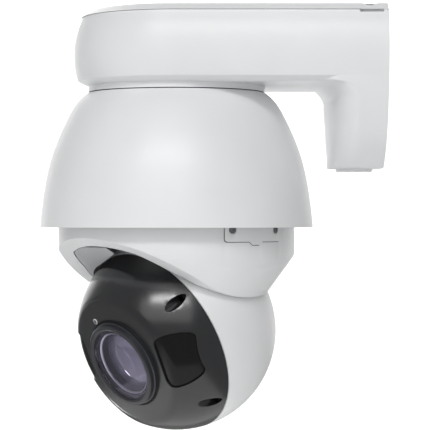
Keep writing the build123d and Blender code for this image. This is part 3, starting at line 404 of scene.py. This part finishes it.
def rounded(corners, steps=6):
    """A polyline with rounded corners.

    Each corner is (across, along, radius). A corner with a radius is swapped for a quadratic curve from the
    point that lies radius before the corner to the one radius after it: (1 - t)^2 of the first, 2 t (1 - t)
    of the corner and t^2 of the last, for t from 0 to 1.
    """
    out = []
    for index, (x, y, radius) in enumerate(corners):
        here = np.array([x, y])
        if radius == 0 or index in (0, len(corners) - 1):
            out.append(here)
            continue
        before = np.array(corners[index - 1][:2]) - here
        after = np.array(corners[index + 1][:2]) - here
        start = here + before / np.linalg.norm(before) * radius
        end = here + after / np.linalg.norm(after) * radius
        for t in np.linspace(0, 1, steps):
            out.append((1 - t) ** 2 * start + 2 * t * (1 - t) * here + t**2 * end)
    return np.array(out)


def turned(name, section, segments, middle, finish, slot_name=None):
    """A ring on the head, turned about the lens axis from a closed section of (radius, height) points.

    A point is middle + LENS * height + radius * (SIDE * cos a + other * sin a), for a from 0 to a full turn,
    where other is square to both.
    """
    other = np.cross(LENS, SIDE)
    angle = np.linspace(0, 2 * math.pi, segments, endpoint=False)[:, None, None]
    radius, height = section[None, :, :1], section[None, :, 1:]
    points = middle + LENS * height + radius * (SIDE * np.cos(angle) + other * np.sin(angle))
    faces = grid_faces(segments, len(section), wrap_rows=True, wrap_columns=True)
    return build(name, points, faces, "camera_head", slot_name or finish, finish)


def opening_height(ahead):
    """Height of the opening's edge: the low side of a circle, then a straight slope.

    On the circle it is high less the root of radius squared less (ahead - middle) squared.
    """
    middle, high, radius = OPENING_ARC
    start, low, slope = OPENING_SLOPE
    arc = high - np.sqrt(np.maximum(radius**2 - (ahead - middle) ** 2, 0))
    return np.where(ahead < start, arc, low + (ahead - start) * slope)


# ------------------------------------------------------------------ settings


class CameraSizes(bpy.types.PropertyGroup):
    """Sizes that a user would change"""

    collar_radius: bpy.props.FloatProperty(
        name="Collar", description="Radius of the light sensor's collar", default=2.5 * MM, unit="LENGTH"
    )
    collar_height: bpy.props.FloatProperty(
        name="Collar height", description="How far the collar stands up", default=0.4 * MM, unit="LENGTH"
    )
    ring_width: bpy.props.FloatProperty(
        name="Ring", description="Width of the ring round the front element", default=1.3 * MM, unit="LENGTH"
    )
    # A near-black cord of painted shade that stands for the gap round the bezel's foot
    bezel_shade_radius: bpy.props.FloatProperty(
        name="Bezel shade", description="Radius of the cord round the bezel's foot", default=1.0 * MM, unit="LENGTH"
    )
    gusset_gap: bpy.props.FloatProperty(
        name="Gusset gap", description="Gap between the ear's wall and the gusset", default=0.7 * MM, unit="LENGTH"
    )
    gusset_clearance: bpy.props.FloatProperty(
        name="Gusset clearance", description="Gap between the gusset and the ball", default=2.2 * MM, unit="LENGTH"
    )
    gusset_thickness: bpy.props.FloatProperty(
        name="Gusset", description="Thickness of the gusset", default=0.8 * MM, unit="LENGTH"
    )
    # A black cord of painted shade that stands for the gap round the service cover's foot
    gap_shade_radius: bpy.props.FloatProperty(
        name="Gap shade", description="Radius of the service cover's rubber cord", default=0.26 * MM, unit="LENGTH"
    )
    edge_radius: bpy.props.FloatProperty(
        name="Edge", description="Rounding of the shells' rims", default=0.8 * MM, unit="LENGTH"
    )


class CameraColours(bpy.types.PropertyGroup):
    """Colours that a user would change, as sRGB"""

    floor: bpy.props.FloatVectorProperty(
        name="Floor", description="Colour of the floor", default=(0.87, 0.87, 0.87), subtype="COLOR_GAMMA"
    )


# ------------------------------------------------------------------ operators


class CAMERA_OT_finish_nodes(bpy.types.Operator):
    """Gives every piece of the frame the finish of its slot"""

    bl_idname = "camera.finish_nodes"
    bl_label = "Finish the frame's pieces"

    def execute(self, context):
        for row in frame["record"]["subparts"]:
            piece = frame["nodes"][row["node"]]
            piece.data.materials.clear()
            piece.data.materials.append(finish_of(OWN_FINISH.get(row["node"], row["material_slot"])))
        return {"FINISHED"}


class CAMERA_OT_soften_edges(bpy.types.Operator):
    """Rounds the sharp edges of the shells that show, on welded copies that stand for the CAD nodes"""

    bl_idname = "camera.soften_edges"
    bl_label = "Soften the edges"

    def execute(self, context):
        for name, share in SOFT_EDGES.items():
            mesh = frame["nodes"][name].data.copy()
            close_mesh(mesh, COPY_WELD, COPY_SHARP)
            piece = add_piece(f"soft_{name}", mesh, BODY_OF[name])
            bevel = piece.modifiers.new("rim", "BEVEL")
            bevel.width = context.scene.camera_sizes.edge_radius * share
            bevel.segments, bevel.limit_method = EDGE_SEGMENTS, "ANGLE"
            bevel.angle_limit = COPY_SHARP
            bevel.harden_normals = True
            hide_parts(name)
        return {"FINISHED"}


class CAMERA_OT_sensor_collar(bpy.types.Operator):
    """Makes the pale collar round the light sensor: a flat washer with eased corners, half sunk in the cover"""

    bl_idname = "camera.sensor_collar"
    bl_label = "Sensor collar"

    def execute(self, context):
        sizes = context.scene.camera_sizes
        middle = (span("light_sensor")[0] + span("light_sensor")[1]) / 2
        middle = middle + LENS * (reach("front_cover", LENS) - (middle - CENTRE) @ LENS)
        outer, height = sizes.collar_radius, sizes.collar_height
        inner, corner = outer * COLLAR_BORE, height * COLLAR_EASE
        section = [(inner, -height, 0), (inner, height, corner), (outer, height, corner), (outer, -height, 0)]
        turned("sensor_collar", rounded(section), COLLAR_SEGMENTS, middle, "white_shell")
        return {"FINISHED"}


class CAMERA_OT_retaining_ring(bpy.types.Operator):
    """Makes the bright ring that holds the front element: a square section whose face rises outwards"""

    bl_idname = "camera.retaining_ring"
    bl_label = "Retaining ring"

    def execute(self, context):
        inner = reach("front_element", SIDE)
        outer = inner + context.scene.camera_sizes.ring_width
        section = [(inner, 0, 0), (outer, RING_FRONT, RING_EASE), (outer, RING_FOOT, 0), (inner, RING_FOOT, 0)]
        middle = CENTRE + LENS * reach("lens_housing", LENS)
        turned("retaining_ring", rounded(section), RING_SEGMENTS, middle, "steel")
        return {"FINISHED"}


class CAMERA_OT_bezel_gap_shade(bpy.types.Operator):
    """Makes a near-black cord at the bezel's foot, painted shade where the gap round the bezel is: a round section
    that touches it, half sunk in the cover
    """

    bl_idname = "camera.bezel_seal"
    bl_label = "Bezel gap shade"

    def execute(self, context):
        radius = context.scene.camera_sizes.bezel_shade_radius
        turn = np.linspace(0, 2 * math.pi, SHADE_CORD_SIDES, endpoint=False)
        section = np.stack([reach("lens_bezel", SIDE) + radius * (1 + np.cos(turn)), radius * np.sin(turn)], -1)
        middle = CENTRE + LENS * reach("front_cover", LENS)
        turned("bezel_seal", section, RING_SEGMENTS, middle, "bezel_shade_black", "black_rubber")
        return {"FINISHED"}


class CAMERA_OT_ear_gusset(bpy.types.Operator):
    """Makes the pale web between the far ear and the ball, in a grey copy of the white coat whose grey is painted
    shade
    """

    bl_idname = "camera.ear_gusset"
    bl_label = "Ear gusset"

    def execute(self, context):
        """Straight lines across, from the cavity's wall to the inner edge, each at the opening's height.

        The wall is at the root of its radius squared less the distance ahead squared. The inner edge is where
        a sphere round the ball is at that height and distance ahead, and further ahead it is the slanted edge.
        """
        sizes = context.scene.camera_sizes
        rows, columns = GUSSET_GRID
        ahead, across = np.meshgrid(np.linspace(*GUSSET_SPAN, rows), np.linspace(0, 1, columns), indexing="ij")
        height = opening_height(ahead)
        wall = np.interp(height, *CAVITY_WALL) - sizes.gusset_gap
        outer = np.sqrt(wall**2 - ahead**2)
        clear = BALL_RADIUS + sizes.gusset_clearance
        hug = np.sqrt(np.maximum(clear**2 - height**2 - ahead**2, 0))
        first, start, slope, least = GUSSET_SLANT
        slant = first - (ahead - start) * slope
        inner = np.where(ahead < start, hug, np.maximum(slant, least))
        sideways = -(outer + (inner - outer) * across)
        points = turret(np.stack([ahead, sideways, height + GUSSET_LIFT], -1))
        # The gusset's grey finish is painted shade for its place deep in the cavity
        piece = build("ear_gusset", points, grid_faces(*GUSSET_GRID), "pan_turret", "white_coat", "painted_shade_coat")
        sheet = piece.modifiers.new("thickness", "SOLIDIFY")
        sheet.thickness, sheet.offset = sizes.gusset_thickness, 0.0
        return {"FINISHED"}


class CAMERA_OT_service_gap_shade(bpy.types.Operator):
    """Makes a thin black cord round the service cover's foot: painted shade that stands for the dark gap round the
    cover
    """

    bl_idname = "camera.service_gasket"
    bl_label = "Service cover gap shade"

    def execute(self, context):
        """A round cord carried along the cover's outline, wrapped on the drum.

        The outline is even steps along a rounded polyline of (ahead, height) points, and to the side it lies at
        the root of the drum's radius squared less the distance ahead squared. Round each point the cord is
        radius * (outward * cos a + beside * sin a), and the radius is nothing at the two ends, which closes them.
        """
        radius = context.scene.camera_sizes.gap_shade_radius
        wide = reach("service_cover", FORWARD) + radius
        top, foot = reach("service_cover", UP), -reach("service_cover", -UP) - radius
        low = foot + TAB_DROP
        half = [(2 * TAB_HALF_WIDTH, low, TAB_CORNER), (TAB_HALF_WIDTH, foot, TAB_CORNER)]
        left = [(-wide, top, 0), (-wide, low, COVER_CORNER), *[(-x, z, r) for x, z, r in half]]
        outline = rounded([*left, *half[::-1], (wide, low, COVER_CORNER), (wide, top, 0)])
        run = np.append(0, np.cumsum(np.linalg.norm(np.diff(outline, axis=0), axis=1)))
        rows, columns = GAP_SHADE_GRID
        steps = np.linspace(0, run[-1], rows)
        ahead, height = np.interp(steps, run, outline[:, 0]), np.interp(steps, run, outline[:, 1])
        path = np.stack([ahead, np.sqrt(DRUM_RADIUS**2 - ahead**2), height], -1)
        outward = path * (1, 1, 0) / DRUM_RADIUS
        along = np.gradient(path, axis=0)
        beside = np.cross(along / np.linalg.norm(along, axis=1, keepdims=True), outward)
        angle = np.linspace(0, 2 * math.pi, columns, endpoint=False)[None, :, None]
        thick = np.where((steps > 0) & (steps < run[-1]), radius, 0)[:, None, None]
        ring = outward[:, None] * np.cos(angle) + beside[:, None] * np.sin(angle)
        faces = grid_faces(*GAP_SHADE_GRID, wrap_columns=True)
        # The cord takes the black rubber finish, so it paints the gap's shade round the cover
        build("service_gasket", turret(path[:, None] + thick * ring), faces, "pan_turret", "black_rubber")
        return {"FINISHED"}


class CAMERA_OT_stage(bpy.types.Operator):
    """Makes the floor, the backdrop, the lights and the camera"""

    bl_idname = "camera.stage"
    bl_label = "Stage"

    def execute(self, context):
        """The paper is a strip across the view: a flat floor, and a backdrop that bends up from its end.

        The bend is a quarter circle: back - bend + bend * sin a away from the camera, and bend - bend * cos a
        above the floor.
        """
        scene = context.scene
        floor_z = CAD_BOX[0][2] - FLOOR_DROP
        angle = np.linspace(0, math.pi / 2, BEND_STEPS)
        away = PAPER_BACK - PAPER_BEND + PAPER_BEND * np.sin(angle)
        bow = np.stack([away, floor_z + PAPER_BEND - PAPER_BEND * np.cos(angle)], -1)
        sheets = {
            "studio_floor": np.array([(PAPER_FRONT, floor_z), bow[0]]),
            "studio_backdrop": np.array([*bow, (PAPER_BACK, PAPER_TOP)]),
        }
        paper = studio_paper(hex_of(scene.camera_colours.floor))
        for name, profile in sheets.items():
            grid = np.zeros((2, len(profile), 3))
            grid[0, :, 0], grid[1, :, 0] = -PAPER_HALF_WIDTH, PAPER_HALF_WIDTH
            grid[:, :, 1], grid[:, :, 2] = profile[:, 0], profile[:, 1]
            mesh = bpy.data.meshes.new(name)
            mesh.from_pydata(grid.reshape(-1, 3).tolist(), [], grid_faces(2, len(profile)).tolist())
            mesh.polygons.foreach_set("use_smooth", np.ones(len(mesh.polygons), bool))
            mesh.materials.append(paper)
            sheet = bpy.data.objects.new(name, mesh)
            scene.collection.objects.link(sheet)
            sheet.visible_glossy = name == "studio_backdrop"

        world = bpy.data.worlds.new("studio_light")
        world.use_nodes = True
        sky = world.node_tree.nodes["Background"]
        sky.inputs["Color"].default_value = linear("#FFFFFF")
        sky.inputs["Strength"].default_value = WORLD_STRENGTH
        scene.world = world
        scene.view_settings.view_transform = "Standard"

        for name, place, aim, size, power, in_gloss, on_matt in SOFTBOXES:
            lamp = bpy.data.lights.new(name, "AREA")
            lamp.shape, lamp.size, lamp.size_y, lamp.energy = "RECTANGLE", *size, power
            holder = bpy.data.objects.new(name, lamp)
            scene.collection.objects.link(holder)
            holder.location = place
            holder.visible_glossy, holder.visible_diffuse = in_gloss, on_matt
            holder.visible_camera = False
            holder.rotation_euler = (Vector(aim) - Vector(place)).to_track_quat("-Z", "Y").to_euler()

        view = bpy.data.cameras.new("view")
        view.sensor_width, view.lens = CAMERA_FILM, CAMERA_LENS
        view.clip_start, view.clip_end = CAMERA_CLIP
        watcher = bpy.data.objects.new("view", view)
        watcher.location = CAMERA_PLACE
        watcher.rotation_euler = (math.pi / 2, 0, 0)
        scene.collection.objects.link(watcher)
        scene.camera = watcher
        return {"FINISHED"}


OPERATORS = (
    CAMERA_OT_stage,
    CAMERA_OT_finish_nodes,
    CAMERA_OT_soften_edges,
    CAMERA_OT_sensor_collar,
    CAMERA_OT_retaining_ring,
    CAMERA_OT_bezel_gap_shade,
    CAMERA_OT_ear_gusset,
    CAMERA_OT_service_gap_shade,
)


class CAMERA_PT_panel(bpy.types.Panel):
    """Lists the steps that build the camera"""

    bl_label = "Dome camera"
    bl_idname = "CAMERA_PT_panel"
    bl_space_type = "VIEW_3D"
    bl_region_type = "UI"
    bl_category = "Camera"

    def draw(self, context):
        for group in (context.scene.camera_sizes, context.scene.camera_colours):
            for key in group.bl_rna.properties.keys():
                if key not in ("rna_type", "name"):
                    self.layout.prop(group, key)
        for operator in OPERATORS:
            self.layout.operator(operator.bl_idname)


CLASSES = (CameraSizes, CameraColours, *OPERATORS, CAMERA_PT_panel)


def register():
    for item in CLASSES:
        bpy.utils.register_class(item)
    bpy.types.Scene.camera_sizes = bpy.props.PointerProperty(type=CameraSizes)
    bpy.types.Scene.camera_colours = bpy.props.PointerProperty(type=CameraColours)


def unregister():
    del bpy.types.Scene.camera_sizes, bpy.types.Scene.camera_colours
    for item in reversed(CLASSES):
        bpy.utils.unregister_class(item)


def main():
    """Registers the add-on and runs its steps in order."""
    register()
    bpy.ops.camera.stage()
    bpy.ops.camera.finish_nodes()
    bpy.ops.camera.soften_edges()
    bpy.ops.camera.sensor_collar()
    bpy.ops.camera.retaining_ring()
    bpy.ops.camera.bezel_seal()
    bpy.ops.camera.ear_gusset()
    bpy.ops.camera.service_gasket()


if __name__ == "__main__":
    main()
